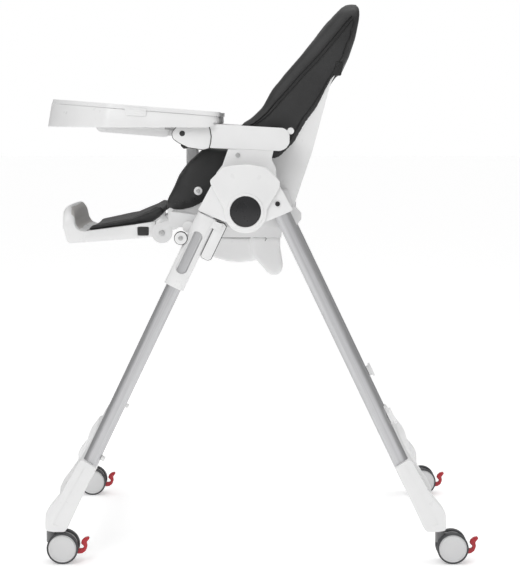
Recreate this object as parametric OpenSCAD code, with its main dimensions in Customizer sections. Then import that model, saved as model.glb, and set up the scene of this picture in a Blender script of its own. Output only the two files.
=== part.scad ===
// Folding baby high chair on four twin-wheel castors.
// X runs across the chair (its left side is +X), the front faces -Y and +Z is up.
// The origin is on the floor, at the middle of the chair.

/* [Legs] */
// Half the distance between the left and right legs
leg_x = 247; // [246:0.5:248]
// Lean of each leg from the vertical, in degrees
lean = 25.6; // [25.2:0.1:26]
// Width of the front leg tube, seen from the side
front_tube_w = 27; // [26:1:30]
// Width of the rear leg tube, seen from the side
rear_tube_w = 28; // [26:1:29]
// Thickness of both leg tubes across the chair
tube_t = 20; // [18:1:20]
// Wall of the leg tubes
tube_wall = 1.6; // [1.2:0.1:2]
// Distance from the pivot height down to the end of a leg tube
tube_down = 530; // [515:5:535]

/* [Fold pivot] */
// Height of the fold pivot above the floor
hub_z = 618; // [617:1:619]
// Radius of the fold pivot pin
pin_r = 8; // [7:0.5:9]
// Radius of the round fold button
button_r = 26.3; // [24:0.1:26.3]

/* [Castors] */
// Radius over the tread
wheel_r = 27.5; // [26:0.5:27.5]
// Radius of the white wheel disc
disc_r = 24.5; // [22:0.5:24.5]
// Distance from swivel axis to axle
trail = 21; // [18:1:22]
// Radius of the castor stem
stem_r = 5; // [4:0.5:6]

/* [Seat] */
// Half width of the seat floor
seat_half = 183; // [182:0.5:183]
// Half width of the padded side, outside
pad_half = 193; // [190:1:195]
// Height of the sitting surface
seat_top = 648; // [640:1:652]

/* [Back] */
// Half width of the back cushion
back_half = 182; // [178:1:184]
// Half width of the hollow between the side wings
wing_in = 140; // [130:1:145]

/* [Tray] */
// Half width of the tray
tray_half = 245; // [240:1:248]
// Depth of the tray from its rear ends to its front edge
tray_depth = 331; // [320:1:335]
// Slope of the tray top and its slides, in degrees
tray_tilt = 4.5; // [4.5:0.1:4.6]

/* [Hidden] */
$fn = 64;
hub_y = -19;
leg_gap = 61.3;
stem_gap = 342;
front_y = hub_y - stem_gap;
rear_y = hub_y + stem_gap;
back_pivot = [45, 632];
foot_pivot = [-168, 574.4];
tray_y = -57;
tray_z = 769;
rail_y = -132;
rail_z = 750.5;
rail_drop = -25.8;
tray_rear = 5;
white = [0.94, 0.94, 0.94];
pale = [0.84, 0.84, 0.84];
silver = [0.74, 0.74, 0.75];
charcoal = [0.22, 0.22, 0.22];
black = [0.08, 0.08, 0.08];

// ---- Helpers ----

// A shape and its mirror image on the other side of the chair
module pair() {
    children();
    mirror([1, 0, 0]) children();
}

// A side outline drawn in Y and Z, made solid from x0 to x1
module slab(x0, x1) {
    translate([x0, 0, 0]) rotate([90, 0, 90]) linear_extrude(x1 - x0) children();
}

// A rod along X through a point of the side view
module rod(at, r, x0, x1) {
    translate([x0, at[0], at[1]]) rotate([0, 90, 0]) cylinder(r = r, h = x1 - x0);
}

// The side view turned so that its first axis points outwards: -1 front, 1 rear
module outward(end) {
    translate([0, hub_y, 0]) mirror([0, end < 0 ? 1 : 0, 0]) children();
}

// Places children on a leg: the origin at pivot height, -Z down the leg, +Y outwards
module on_leg(end, x = leg_x) {
    outward(end) translate([x, leg_gap, hub_z]) rotate([lean, 0, 0]) children();
}

// An oblong outline with round ends along Y
module oblong(w, t) {
    square([t, w - t], center = true);
    for (s = [-1, 1]) translate([0, s * (w - t) / 2]) circle(d = t);
}

// ---- Leg frames ----

module leg_tube(end, w) {
    on_leg(end) translate([0, 0, -tube_down]) difference() {
        linear_extrude(tube_down + 16) oblong(w, tube_t);
        translate([0, 0, -1]) linear_extrude(tube_down + 18)
            oblong(w - 2 * tube_wall, tube_t - 2 * tube_wall);
    }
}

module front_legs() {
    color(silver) pair() leg_tube(-1, front_tube_w);
}

module rear_legs() {
    color(silver) pair() leg_tube(1, rear_tube_w);
}

// The moulded cap on top of a leg, with the eye that turns on the pivot pin
module leg_joint(end, eye_x0, eye_x1, clear_x0, clear_x1, w) {
    cap = [[8, 660], [36, 678], [57, 665], [81, 621], [76, 617.5], [33, 599], [14, 610]];
    difference() {
        union() {
            difference() {
                outward(end) slab(235, 259) polygon(cap);
                rod([hub_y, hub_z], 35.5, clear_x0, clear_x1);
            }
            rod([hub_y, hub_z], 34, eye_x0, eye_x1);
            outward(end) slab(eye_x0, eye_x1) polygon([[0, 600], [40, 608], [40, 655], [0, 640]]);
        }
        rod([hub_y, hub_z], pin_r + 0.05, 230, 262);
        on_leg(end) translate([0, 0, -30]) linear_extrude(46.2) oblong(w + 0.2, tube_t + 0.2);
    }
}

module front_joints() {
    color(white) pair() leg_joint(-1, 245, 254, 234, 244.8, front_tube_w);
}

module rear_joints() {
    color(white) pair() leg_joint(1, 235, 244.5, 244.7, 261, rear_tube_w);
}

module hub_covers() {
    crown = [[-37, 4], [-59, 46], [-61, 53], [-38, 76], [-15, 79.5], [6, 80.5], [36, 74.5],
        [59, 52], [59, 42], [37, 4]];
    color(white) pair() difference() {
        union() {
            translate([0, hub_y, hub_z]) slab(259.2, 265) {
                polygon(crown);
                circle(r = 37);
            }
            rod([hub_y, hub_z], 31.5, 264, 266.5);
        }
        rod([hub_y, hub_z], button_r + 0.3, 258, 268);
    }
}

module hub_pins() {
    color(silver) pair() difference() {
        union() {
            rod([hub_y, hub_z], pin_r, 233, 255);
            rod([hub_y, hub_z], 12, 233, 234.8);
            rod([hub_y, hub_z], 12, 254.2, 257);
        }
        rod([hub_y, hub_z], 5.05, 232, 258);
    }
}

module fold_button() {
    color(charcoal) difference() {
        union() {
            rod([hub_y, hub_z], button_r, 262.5, 265.5);
            rod([hub_y, hub_z], 5, 253.5, 264);
            translate([265.4, hub_y, hub_z]) rotate([0, 90, 0])
                cylinder(r1 = button_r, r2 = button_r - 6, h = 2);
        }
        rod([hub_y, hub_z], 2, 252, 258);
    }
}

// Moulded foot at the end of a leg, with sockets for the tube and the castor stem
module foot(end, w) {
    side = [[260, 168], [290, 183], [324, 123], [350, 92], [351, 60], [336, 57.5],
        [316, 57.5], [307, 65]];
    difference() {
        outward(end) union() {
            slab(231, 263) polygon(side);
            slab(228.5, 265.5) polygon([[267, 169], [289, 179], [321, 124], [346, 92],
                [347, 62], [318, 61], [310, 67]]);
        }
        on_leg(end) translate([0, 0, -tube_down - 0.3]) linear_extrude(100)
            oblong(w + 0.2, tube_t + 0.2);
        outward(end) translate([leg_x, stem_gap, 50]) cylinder(r = stem_r + 0.05, h = 42);
    }
}

module front_feet() {
    color(white) pair() foot(-1, front_tube_w);
}

module rear_feet() {
    color(white) pair() foot(1, rear_tube_w);
}

// Bowed bar that ties the left and right feet together
module beam(end) {
    outward(end) slab(-228.4, 228.4)
        polygon([[292, 112], [322, 107], [329, 116], [327, 131], [320, 145], [301, 170],
            [288, 164], [284, 150]]);
}

module front_beam() {
    color(white) beam(-1);
}

module rear_beam() {
    color(white) beam(1);
}

module leg_buffers() {
    color(white) pair() on_leg(-1) translate([0, -front_tube_w / 2 - 7, -472])
        rotate([-90, 0, 0]) cylinder(r = 4.5, h = 7);
}

module tray_hooks() {
    color(white) pair() on_leg(1) translate([0, rear_tube_w / 2, -406]) rotate([-90, 0, 0]) {
        linear_extrude(5.5) oblong(22, 11);
        translate([0, 0, 5]) linear_extrude(5) oblong(30, 17);
    }
}

module rear_bolts() {
    color(black) pair() difference() {
        rod([36, 631], 4.2, 259, 261.5);
        translate([260, 36, 631]) rotate([0, 90, 0]) cylinder(r = 2, h = 3, $fn = 6);
    }
}

// ---- Castors: the stem is at the local origin, the wheels trail towards +Y ----

module castor_at(x, y) {
    translate([x, y, 0]) children();
}

module castor_fork(x, y) {
    color([0.5, 0.5, 0.52]) castor_at(x, y) difference() {
        union() {
            intersection() {
                translate([0, 0, 36]) cylinder(r = 8.5, h = 20.5);
                translate([-6.5, -10, 30]) cube([13, 20, 30]);
            }
            translate([0, 0, 50]) cylinder(r = stem_r, h = 41);
            slab(-4.5, 4.5) polygon([[-7, 40], [-7, 52], [24, 52], [31, 46], [31, 36],
                [27, 22], [16, 22]]);
        }
        rod([trail, wheel_r], 3.05, -6, 6);
        slab(-5, 5) polygon([[23, 21], [24, 33], [33, 37], [33, 21]]);
    }
}

module castor_axle(x, y) {
    color(silver) castor_at(x, y) rod([trail, wheel_r], 3, -18, 18);
}

module castor_discs(x, y) {
    color([0.87, 0.87, 0.87]) castor_at(x, y) pair() difference() {
        union() {
            rod([trail, wheel_r], disc_r, 7.5, 18);
            rod([trail, wheel_r], disc_r - 1.5, 17.9, 20.5);
            rod([trail, wheel_r], 7, 5, 8);
        }
        rod([trail, wheel_r], 3.05, 4, 18.1);
        rod([trail, wheel_r], disc_r - 3.5, 19.5, 21);
    }
}

module castor_tyres(x, y) {
    color([0.28, 0.28, 0.29]) castor_at(x, y) pair() difference() {
        rod([trail, wheel_r], wheel_r, 7, 19);
        rod([trail, wheel_r], disc_r, 6, 20);
    }
}

// Foot brake: a hooked pedal that turns on a cross pin behind the fork
module castor_brake(x, y) {
    color([0.7, 0.06, 0.12]) castor_at(x, y) union() {
        slab(-4, 4) polygon([[31, 26], [36, 27], [39, 20], [46, 14.5], [54, 15], [60.5, 19.5],
            [63.5, 28], [62, 35], [67.5, 42], [65.5, 45], [59, 43.5], [53.5, 39], [52, 33],
            [55, 30.5], [57.5, 27.5], [55.5, 24], [49, 23], [44, 26], [40, 33], [33, 33],
            [29, 29]]);
        rod([34, 29], 3.2, -4, 4);
    }
}

// ---- Seat, which slides down the front legs ----

module seat_shell() {
    lug = [[-150, 600], [-150, 578], [-160, 557], [-176, 558], [-186, 572], [-182, 588],
        [-168, 593]];
    color(pale) difference() {
        union() {
            slab(-seat_half, seat_half)
                polygon([[-155, 592], [-150, 589], [44, 589], [60, 594], [60, 600], [-155, 600]]);
            pair() slab(176, seat_half)
                polygon([[-155, 599], [58, 599], [63, 632], [55, 652], [30, 652], [20, 636],
                    [-130, 636], [-157, 617]]);
            slab(-165, 165) polygon([[-99, 590], [-96, 566], [44, 566], [46, 590]]);
            pair() slab(182, 231.8)
                polygon([[-150, 589], [40, 589], [40, 611], [-108, 611], [-148, 616]]);
            pair() slab(158, 166) polygon(lug);
            pair() rod(foot_pivot, 18.5, 158, 166);
            pair() slab(176, seat_half)
                polygon([[50, 592], [72, 590], [79, 600], [79, 611], [70, 621], [60, 622]]);
        }
        pair() rod(foot_pivot, 5.05, 150, 170);
        pair() rod(back_pivot, 5.05, 160, 190);
        pair() rod([-130, 572], 30, 170, 200);
        translate([-14.5, -132, 585]) cube([29, 25, 20]);
    }
}

module seat_base_cover() {
    color(pale) union() {
        slab(-150, 150)
            polygon([[-96, 565.8], [-93, 540], [-84, 531], [-52, 521], [-29, 519.5], [-1, 522.5],
                [14, 540], [30, 560], [38, 565.8]]);
        pair() slab(120, 162)
            polygon([[-10, 565.8], [-4, 530], [19.7, 502], [26.6, 497], [36, 497], [45, 505],
                [48, 515], [42, 550], [43, 565.8]]);
    }
}

// Collars that run on the front legs and carry the seat
module leg_sleeves() {
    sleeve_top = 9;
    sleeve_len = 135.5;
    color(white) pair() difference() {
        union() {
            on_leg(-1) translate([0, 0, -sleeve_top - sleeve_len])
                linear_extrude(sleeve_len) oblong(front_tube_w + 9, 30);
            rod([-130, 572], 10.5, 240, 262);
            rod([-118, 590], 10, 232, 240);
            on_leg(-1) for (x = [-10.8, 7.2]) translate([x, -30, -24])
                cube([3.6, 18, 13]);
        }
        on_leg(-1) translate([0, 0, -160]) linear_extrude(170)
            oblong(front_tube_w + 0.6, tube_t + 0.6);
        on_leg(-1) translate([9, 1.5, -79]) rotate([0, 90, 0])
            linear_extrude(9) rotate(90) oblong(79, 21);
        on_leg(-1) translate([-20, -25, -16]) rotate([0, 90, 0]) cylinder(r = 3.05, h = 40);
    }
}

module armrests() {
    rest = [[-83, 767.5], [46, 760], [53, 756], [57, 748], [57, 734], [51, 725], [41, 720.5],
        [-83, 726]];
    bracket = [[rail_y, 764.5], [-82, 767], [-82, 724], [-92, 723], [-118, 727],
        [-140, 740]];
    neck = [[-49, 722], [-59, 696], [-70, 682], [-70, 611.2], [34, 611.2], [34, 690],
        [26, 707], [30, 722]];
    color(white) pair() difference() {
        union() {
            slab(196, 230) polygon(rest);
            slab(199, 230) {
                polygon(bracket);
                translate([rail_y, rail_z]) circle(r = 13.5);
            }
            slab(212, 230) polygon(neck);
            slab(214, 226) translate([59, 755]) circle(r = 6);
        }
        on_tray() translate([206.6, -100, rail_drop - 7.4]) cube([12.8, 180, 14.8]);
    }
}

module pivot_screws() {
    color(silver) pair() {
        rod(foot_pivot, 5, 141, 166);
        rod(foot_pivot, 8, 166, 168.5);
        rod(back_pivot, 5, 166, 183);
        rod(back_pivot, 8, 183, 185.5);
    }
}

module cover_screws() {
    color([0.6, 0.6, 0.6]) pair() {
        rod([-32.4, 713.5], 4.2, 230, 231.6);
        rod([-130, 572], 4.2, 262, 263.6);
        rod([-102.3, 650.2], 7, pad_half, pad_half + 3);
        rod([-128, 750.7], 4.2, 230, 231.6);
    }
}

module seat_pad() {
    roll = [[-92, 722], [-117.5, 697.6], [-136, 671], [-149.5, 645], [-155.4, 635.4],
        [-158, 622], [-130, 619], [-111, 623.7], [-94, 632], [5, 632], [5, 722]];
    color(charcoal) difference() {
        union() {
            slab(-175.6, 175.6) polygon([[-160, 601], [-164, 624], [-156, seat_top - 8],
                [-140, seat_top], [5, seat_top], [5, 601]]);
            pair() slab(158, pad_half) polygon(roll);
        }
        pair() slab(175.6, seat_half + 0.4)
            polygon([[-165, 598], [40, 598], [40, 637], [-130, 637], [-165, 618]]);
        translate([-14.5, -132, 590]) cube([29, 25, 80]);
    }
}

module crotch_post() {
    color(pale) slab(-14, 14)
        polygon([[-131, 600.2], [-108, 600.2], [-106.5, 700], [-112, 738], [-124, 742],
            [-131, 736]]);
}

module seat_straps() {
    color(black) union() {
        slab(-12, 12) polygon([[-107, 664], [-107, 661], [-80.2, 653], [-80.2, 656]]);
        pair() slab(25.2, 157.8) polygon([[-78, 656], [-50, 656], [-50, 659], [-78, 659]]);
    }
}

module buckle() {
    color([0.15, 0.15, 0.16]) slab(-25, 25)
        polygon([[-80, 650], [-46, 650], [-44, 656], [-48, 664], [-76, 664], [-80, 660]]);
}

// Release behind each sleeve, hinged at its top
module height_lever() {
    color(white) on_leg(-1) {
        translate([0, -37, -78]) slab(-6.8, 6.8)
            polygon([[0, 4], [4, 0], [16, 0], [18, 4], [18, 66], [6, 69], [0, 66]]);
        translate([-10.6, -25, -16]) rotate([0, 90, 0]) cylinder(r = 3, h = 21.2);
    }
}

// ---- Back, which leans about two screws at its foot ----

// Rear line of the back shell; shift moves it forwards
function back_line(shift) = [for (p = [[66, 622], [98, 717], [130, 838], [150, 872],
    [164, 902], [171, 930]]) p - [shift, 0]];
function reverse(list) = [for (i = [len(list) - 1:-1:0]) list[i]];

// Side wing of the shell; grow enlarges it
function wing_side(grow) = concat(back_line(-grow), [[160 - grow, 935 + grow],
    [128 - grow, 905], [90 - grow, 850], [36 - grow, 770], [22 - grow, 706],
    [26 - grow, 640], [34, 618 - grow], [50, 612 - grow]]);

module back_shell() {
    color(white) difference() {
        union() {
            pair() slab(166, 172) polygon(wing_side(0));
            slab(-167, 167) polygon(concat(back_line(8), reverse(back_line(13))));
            pair() rod(back_pivot, 16, 166, 175.5);
        }
        pair() rod(back_pivot, 5.05, 160, 180);
        slab(-36, 36) polygon([[80, 792], [150, 792], [150, 838], [80, 838]]);
    }
}

module back_pad() {
    rim = [[-25, 766], [-6, 778], [14, 797], [31, 828], [73, 884], [102, 919], [128, 951],
        [144, 966], [160, 976], [176, 972], [180, 957], [171, 910], [150, 871], [110, 811],
        [66, 738], [52, 724], [-10, 724], [-25, 740]];
    middle = [[36, 655], [60, 717], [92, 838], [118, 880], [140, 950], [152, 970], [168, 974],
        [178, 962], [176, 930], [152, 872], [116, 838], [84, 717], [62, 655]];
    color(charcoal) difference() {
        union() {
            slab(-164.6, 164.6) polygon(middle);
            pair() slab(wing_in, back_half) polygon(rim);
        }
        pair() slab(165.6, 172.4) polygon(wing_side(0.4));
        slab(-168, 168) polygon(concat(back_line(7.6), reverse(back_line(13.4)),
            [[60, 615]]));
    }
}

module shoulder_straps() {
    color(black) pair() slab(40, 66)
        polygon([[44, 690], [59, 717.5], [90.5, 838], [94, 850], [91, 851], [87, 838],
            [55.5, 717.5], [40, 692]]);
}

module recline_lever() {
    color(pale) union() {
        slab(-34, 34) polygon([[107, 796], [113, 794], [118, 796], [126, 830],
            [122, 836], [117, 832]]);
        rod([121, 834], 2, -35.5, 35.5);
    }
}

// ---- Leg rest ----

// Plan of the leg rest: straight at the pivots, narrower towards the footplate
module leg_rest_plan(inset, z0, z1) {
    translate([0, 0, z0]) linear_extrude(z1 - z0)
        polygon([[inset - 157.5, -150], [inset - 157.5, -222], [inset - 118, -311.1],
            [118 - inset, -311.1], [157.5 - inset, -222], [157.5 - inset, -150]]);
}

module leg_rest() {
    color(white) difference() {
        intersection() {
            union() {
                difference() {
                    slab(-157.5, 157.5)
                        polygon([[-180, 594], [-311, 573.5], [-311, 553.6], [-180, 567]]);
                    leg_rest_plan(17.5, 540, 620);
                }
                pair() rod(foot_pivot, 17, 140, 157.5);
                slab(-141, 141) polygon([[-190, 580], [-311, 560], [-311, 568], [-190, 589]]);
            }
            leg_rest_plan(0, 541, 619);
        }
        pair() rod(foot_pivot, 5.05, 139, 159);
        pair() translate([144.5, -211.7, 569.3]) cube([14, 19.4, 15]);
    }
}

module footplate() {
    color(white) intersection() {
        slab(-118, 118)
            polygon([[-311.2, 553.6], [-341.5, 551.5], [-350, 572], [-352.5, 592], [-350, 612],
                [-343, 618.5], [-333, 617], [-324, 606], [-315, 584], [-311.2, 573]]);
        translate([0, -300, 0]) rotate([90, 0, 0]) linear_extrude(60)
            polygon([[-118.5, 550], [118.5, 550], [118, 590], [112, 606], [98, 616], [86, 619],
                [-86, 619], [-98, 616], [-112, 606], [-118, 590]]);
    }
}

module leg_pad() {
    color(charcoal) intersection() {
        slab(-136, 136)
            polygon([[-306, 575.2], [-308, 583], [-228, 603], [-192, 618], [-172, 626],
                [-167, 612], [-186, 594.5]]);
        leg_rest_plan(14, 560, 640);
    }
}

module leg_rest_button() {
    color(black) translate([148.5, -211.2, 569.8]) cube([10.8, 18.4, 14]);
}

// ---- Tray ----

// Places children in the sloping tray frame, its origin at the middle of the rear edge
module on_tray() {
    translate([0, tray_y, tray_z]) rotate([-tray_tilt, 0, 0]) children();
}

// Plan of the tray, drawn in by inset
module tray_plan(inset = 0) {
    difference() {
        intersection() {
            translate([0, -31]) circle(r = tray_depth - 31 - inset, $fn = 128);
            translate([inset - tray_half, inset - tray_depth])
                square([2 * (tray_half - inset), tray_depth - tray_rear - 2 * inset]);
        }
        translate([0, 120]) circle(r = 190 + inset, $fn = 128);
    }
}

module tray_base() {
    skirt = 3;
    color(white) difference() {
        intersection() {
            translate([0, tray_y, 761]) linear_extrude(60) tray_plan();
            on_tray() translate([-300, -400, -60]) cube([600, 420, 70]);
        }
        difference() {
            translate([0, tray_y, 750]) linear_extrude(80) tray_plan(skirt);
            on_tray() translate([-300, -400, 7]) cube([600, 420, 60]);
            on_tray() pair() translate([204, -221, rail_drop + 7]) cube([18, 121, 30]);
            pair() slab(40.4, 44) polygon([[-356, 784], [-342, 784], [-342, 800], [-356, 800]]);
        }
        pair() rod([-349, 789], 2.55, 39, 46);
        on_tray() pair() translate([193, -110, -14]) cube([45, 115, 14]);
    }
}

module tray_rails() {
    color(pale) on_tray() pair() translate([207, -221, rail_drop - 7]) cube([12, 296, 14]);
}

module tray_top() {
    color(white) on_tray() difference() {
        translate([0, 0, 10.3]) linear_extrude(7.7) tray_plan(1);
        translate([0, 0, 13]) linear_extrude(6) tray_plan(14);
        translate([150, -180, 11.8]) cylinder(r = 36, h = 10);
    }
}

module tray_release() {
    color(pale) union() {
        slab(-40, 40) polygon([[-374, 766], [-350, 766], [-345, 790], [-352, 792],
            [-356, 771], [-374, 771]]);
        rod([-349, 789], 2.5, -43.5, 43.5);
    }
}

front_legs();
front_joints();
hub_covers();
hub_pins();
front_feet();
front_beam();
leg_buffers();
fold_button();  // fold_button_left
mirror([1, 0, 0]) fold_button();  // fold_button_right
rear_legs();
rear_joints();
rear_feet();
rear_beam();
tray_hooks();
rear_bolts();
seat_shell();
seat_base_cover();
leg_sleeves();
armrests();
pivot_screws();
cover_screws();
seat_pad();
crotch_post();
seat_straps();
buckle();
height_lever();  // height_lever_left
mirror([1, 0, 0]) height_lever();  // height_lever_right
back_shell();
back_pad();
shoulder_straps();
recline_lever();
leg_rest();
footplate();
leg_pad();
leg_rest_button();  // leg_rest_button_left
mirror([1, 0, 0]) leg_rest_button();  // leg_rest_button_right
tray_base();
tray_rails();
tray_top();
tray_release();
castor_fork(leg_x, front_y);  // front_left_fork
castor_axle(leg_x, front_y);  // front_left_axle
castor_discs(leg_x, front_y);  // front_left_discs
castor_tyres(leg_x, front_y);  // front_left_tyres
castor_brake(leg_x, front_y);  // front_left_brake
castor_fork(-leg_x, front_y);  // front_right_fork
castor_axle(-leg_x, front_y);  // front_right_axle
castor_discs(-leg_x, front_y);  // front_right_discs
castor_tyres(-leg_x, front_y);  // front_right_tyres
castor_brake(-leg_x, front_y);  // front_right_brake
castor_fork(leg_x, rear_y);  // rear_left_fork
castor_axle(leg_x, rear_y);  // rear_left_axle
castor_discs(leg_x, rear_y);  // rear_left_discs
castor_tyres(leg_x, rear_y);  // rear_left_tyres
castor_brake(leg_x, rear_y);  // rear_left_brake
castor_fork(-leg_x, rear_y);  // rear_right_fork
castor_axle(-leg_x, rear_y);  // rear_right_axle
castor_discs(-leg_x, rear_y);  // rear_right_discs
castor_tyres(-leg_x, rear_y);  // rear_right_tyres
castor_brake(-leg_x, rear_y);  // rear_right_brake
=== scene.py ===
import math

import bmesh
import bpy
from mathutils import Matrix, Vector
from mathutils.bvhtree import BVHTree


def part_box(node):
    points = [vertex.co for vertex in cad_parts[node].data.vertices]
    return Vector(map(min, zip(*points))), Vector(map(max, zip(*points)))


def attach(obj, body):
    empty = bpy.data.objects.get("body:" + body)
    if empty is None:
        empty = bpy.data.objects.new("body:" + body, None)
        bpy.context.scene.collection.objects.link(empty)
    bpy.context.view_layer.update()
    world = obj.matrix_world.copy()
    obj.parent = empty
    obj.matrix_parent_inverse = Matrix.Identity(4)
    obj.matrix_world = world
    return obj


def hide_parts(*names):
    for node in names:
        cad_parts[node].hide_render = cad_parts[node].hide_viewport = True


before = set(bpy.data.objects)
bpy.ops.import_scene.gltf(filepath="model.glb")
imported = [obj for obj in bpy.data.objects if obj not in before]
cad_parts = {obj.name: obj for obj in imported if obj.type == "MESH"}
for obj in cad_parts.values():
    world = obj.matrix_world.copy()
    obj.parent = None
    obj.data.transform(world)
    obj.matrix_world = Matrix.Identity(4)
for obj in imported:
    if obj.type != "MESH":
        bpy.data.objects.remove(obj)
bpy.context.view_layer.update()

mm = 0.001


# Helpers for modelling

def deselectAll():
    if bpy.context.object and bpy.context.object.mode != "OBJECT":
        bpy.ops.object.mode_set(mode="OBJECT")
    bpy.ops.object.select_all(action="DESELECT")


def pick(piece):
    deselectAll()
    piece.select_set(True)
    bpy.context.view_layer.objects.active = piece


def addModifier(piece, kind, **settings):
    mod = piece.modifiers.new(kind.title(), kind)
    for key, value in settings.items():
        setattr(mod, key, value)
    return mod


def applyAll(piece):
    pick(piece)
    for mod in list(piece.modifiers):
        bpy.ops.object.modifier_apply(modifier=mod.name)


def tidyNormals(piece):
    pick(piece)
    bpy.ops.object.mode_set(mode="EDIT")
    bpy.ops.mesh.select_all(action="SELECT")
    bpy.ops.mesh.remove_doubles(threshold=0.00002)
    bpy.ops.mesh.normals_make_consistent(inside=False)
    bpy.ops.object.mode_set(mode="OBJECT")


def smooth(piece, degrees=38):
    pick(piece)
    bpy.ops.object.shade_smooth_by_angle(angle=math.radians(degrees))


def bevelEdges(piece, width, segments=3, degrees=35):
    addModifier(piece, "BEVEL", width=width * mm, segments=segments, limit_method="ANGLE",
                angle_limit=math.radians(degrees), harden_normals=False, miter_outer="MITER_ARC")
    applyAll(piece)


# Turns sharp corners of an outline into arcs; radii holds one radius per corner
def roundCorners(points, radii, steps=5):
    if not isinstance(radii, (list, tuple)):
        radii = [radii] * len(points)
    out = []
    count = len(points)
    for i, point in enumerate(points):
        here = Vector(point)
        before = Vector(points[i - 1]) - here
        after = Vector(points[(i + 1) % count]) - here
        turn = before.angle(after)
        if radii[i] <= 0 or turn > math.radians(176):
            out.append(tuple(here))
            continue
        reach = min(radii[i] / math.tan(turn / 2), before.length * 0.48, after.length * 0.48)
        first = here + before.normalized() * reach
        last = here + after.normalized() * reach
        for k in range(steps + 1):
            t = k / steps
            spot = first * (1 - t) ** 2 + here * 2 * t * (1 - t) + last * t ** 2
            out.append(tuple(spot))
    return out


# Opens edit mode with only the faces that look up selected
def editTopFace(piece):
    pick(piece)
    bpy.ops.object.mode_set(mode="EDIT")
    bpy.ops.mesh.select_mode(type="FACE")
    bpy.ops.mesh.select_all(action="DESELECT")
    bpy.ops.object.mode_set(mode="OBJECT")
    for face in piece.data.polygons:
        face.select = face.normal.z > 0.9
    bpy.ops.object.mode_set(mode="EDIT")


# Divides the long edges that run from side to side
def sliceAcross(piece, cuts):
    pick(piece)
    bpy.ops.object.mode_set(mode="EDIT")
    bpy.ops.mesh.select_all(action="DESELECT")
    bpy.ops.object.mode_set(mode="OBJECT")
    for edge in piece.data.edges:
        a, b = (piece.data.vertices[i].co for i in edge.vertices)
        edge.select = abs(a.x - b.x) > 0.1
    bpy.ops.object.mode_set(mode="EDIT")
    bpy.ops.mesh.subdivide(number_cuts=cuts)
    bpy.ops.object.mode_set(mode="OBJECT")


# A flat face with the outline, pushed out along one axis; "x" takes (y, z) points, "z" takes (x, y)
def plate(name, outline, low, high, axis="x"):
    deselectAll()
    bpy.ops.mesh.primitive_circle_add(vertices=len(outline), radius=1, fill_type="NGON")
    piece = bpy.context.object
    piece.name = name
    for vert, (a, b) in zip(piece.data.vertices, outline):
        vert.co = (low * mm, a * mm, b * mm) if axis == "x" else (a * mm, b * mm, low * mm)
    step = (high - low) * mm
    bpy.ops.object.mode_set(mode="EDIT")
    bpy.ops.mesh.select_all(action="SELECT")
    bpy.ops.mesh.extrude_region_move(
        TRANSFORM_OT_translate={"value": (step, 0, 0) if axis == "x" else (0, 0, step)})
    bpy.ops.mesh.select_all(action="SELECT")
    bpy.ops.mesh.normals_make_consistent(inside=False)
    bpy.ops.object.mode_set(mode="OBJECT")
    return piece


def roundedPlate(name, outline, low, high, corners, edge, axis="x", segments=3):
    piece = plate(name, roundCorners(outline, corners), low, high, axis)
    bevelEdges(piece, edge, segments, 50)
    return piece


# A rod of the given radius between two points, its ends softened
def rod(name, start, end, radius, edge=0.4, sides=48):
    a, b = Vector(start) * mm, Vector(end) * mm
    deselectAll()
    bpy.ops.mesh.primitive_cylinder_add(vertices=sides, radius=radius * mm, depth=(b - a).length)
    piece = bpy.context.object
    piece.name = name
    turn = (b - a).to_track_quat("Z", "Y").to_matrix().to_4x4()
    piece.data.transform(Matrix.Translation((a + b) / 2) @ turn)
    if edge:
        bevelEdges(piece, edge, 2, 60)
    return piece


def block(name, low, high, edge=0):
    low, high = Vector(low) * mm, Vector(high) * mm
    deselectAll()
    bpy.ops.mesh.primitive_cube_add(size=1)
    piece = bpy.context.object
    piece.name = name
    size = high - low
    piece.data.transform(Matrix.Translation((low + high) / 2) @ Matrix.Diagonal((*size, 1)))
    if edge:
        bevelEdges(piece, edge, 2)
    return piece


def cut(piece, *tools, keepTool=False):
    for tool in tools:
        addModifier(piece, "BOOLEAN", object=tool, operation="DIFFERENCE", solver="MANIFOLD")
        applyAll(piece)
        if not keepTool:
            bpy.data.objects.remove(tool)
    return piece


def weld(piece, *others):
    for other in others:
        addModifier(piece, "BOOLEAN", object=other, operation="UNION", solver="MANIFOLD")
        applyAll(piece)
        bpy.data.objects.remove(other)
    return piece


def join(name, parts):
    deselectAll()
    for part in parts:
        part.select_set(True)
    bpy.context.view_layer.objects.active = parts[0]
    if len(parts) > 1:
        bpy.ops.object.join()
    parts[0].name = name
    return parts[0]


def mirrored(piece):
    twin = piece.copy()
    twin.data = piece.data.copy()
    bpy.context.collection.objects.link(twin)
    twin.data.transform(Matrix.Diagonal((-1, 1, 1, 1)))
    twin.data.flip_normals()
    return twin


def bothSides(piece):
    return join(piece.name, [piece, mirrored(piece)])


# A copy of a CAD node whose edges are softened
def softened(node, name, edge, segments=2, degrees=38):
    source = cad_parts[node]
    piece = source.copy()
    piece.data = source.data.copy()
    piece.name = name
    piece.parent = None
    piece.matrix_world = Matrix.Identity(4)
    for key in list(piece.keys()):
        del piece[key]
    bpy.context.collection.objects.link(piece)
    pick(piece)
    bpy.ops.object.mode_set(mode="EDIT")
    bpy.ops.mesh.select_all(action="SELECT")
    bpy.ops.mesh.remove_doubles(threshold=0.00002)
    bpy.ops.mesh.tris_convert_to_quads(face_threshold=math.radians(1), shape_threshold=math.radians(170))
    bpy.ops.object.mode_set(mode="OBJECT")
    bevelEdges(piece, edge, segments, degrees)
    return piece


# Gives its material to a CAD node that stays as it is
def paint(node, material):
    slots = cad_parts[node].data.materials
    slots.clear()
    slots.append(material)


# Softens a CAD node and puts the new piece in its place
def soften(node, name, edge, segments, body, material, slotName):
    finishPiece(softened(node, name, edge, segments), body, material, slotName, node)


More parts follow.
